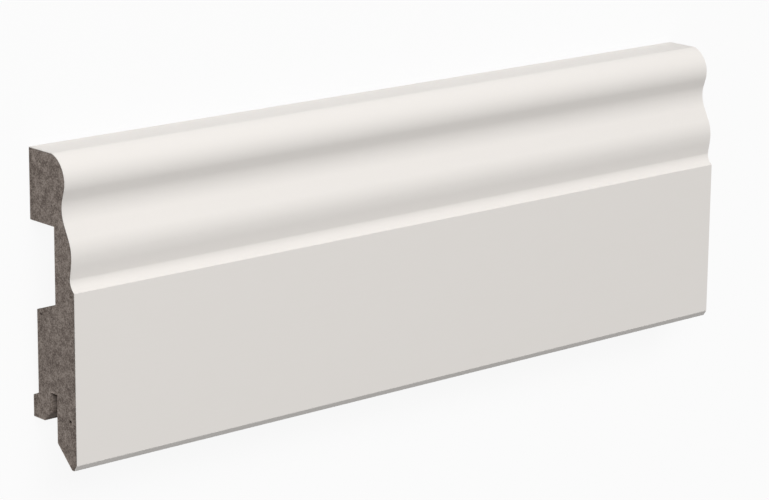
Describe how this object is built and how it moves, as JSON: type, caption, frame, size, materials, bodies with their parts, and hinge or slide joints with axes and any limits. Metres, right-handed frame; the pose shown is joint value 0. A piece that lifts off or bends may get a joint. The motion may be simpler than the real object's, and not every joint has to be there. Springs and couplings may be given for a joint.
{
  "type": "skirting board length",
  "caption": "Moulded MDF skirting board with a white wrapped front, sawn ends, and a milled back with a cable channel and a clip slot behind the foot.",
  "frame": {"origin": "under the middle of the board, on the level that its back lies on", "axes": "+X along the length, +Y towards the moulded top edge, +Z out of the white front"},
  "size_m": [0.275, 0.096, 0.022],
  "materials": {
    "mdf": "sawn, matt",
    "foil": "satin"
  },
  "bodies": {
    "root": {"mdf_core": "mdf", "foil_wrap": "foil"}
  },
  "joints": []
}
